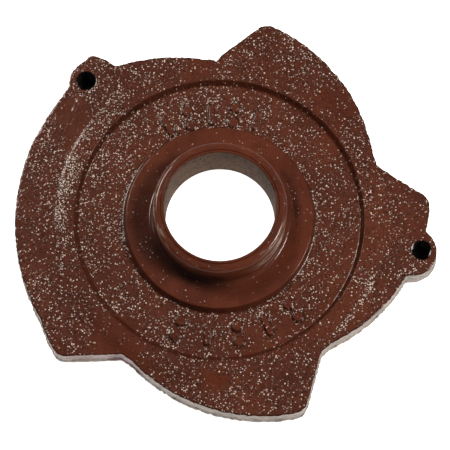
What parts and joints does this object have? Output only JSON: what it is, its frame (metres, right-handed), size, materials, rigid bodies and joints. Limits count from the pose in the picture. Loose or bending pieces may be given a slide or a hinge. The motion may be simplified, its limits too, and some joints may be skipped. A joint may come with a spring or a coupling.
{
  "type": "cast flange",
  "caption": "Cast iron flange plate with a tall sleeved collar, a recessed ring, a saw-toothed outline and ears with blind bolt holes.",
  "frame": {"origin": "centre of the bore at its lower end, where the bore wall meets the recess in the back", "axes": "+Z along the bore towards the collar's mouth; +X towards the second ear's side, +Y away from the picture's lower edge"},
  "size_m": [0.2013, 0.1936, 0.035],
  "materials": {
    "red_primer": "glossy red-oxide paint over rough sand casting, side walls left grey",
    "bare_sleeve": "dull bare metal, grey-brown"
  },
  "bodies": {
    "root": {"flange_casting": "red_primer", "bore_sleeve": "bare_sleeve"}
  },
  "joints": []
}
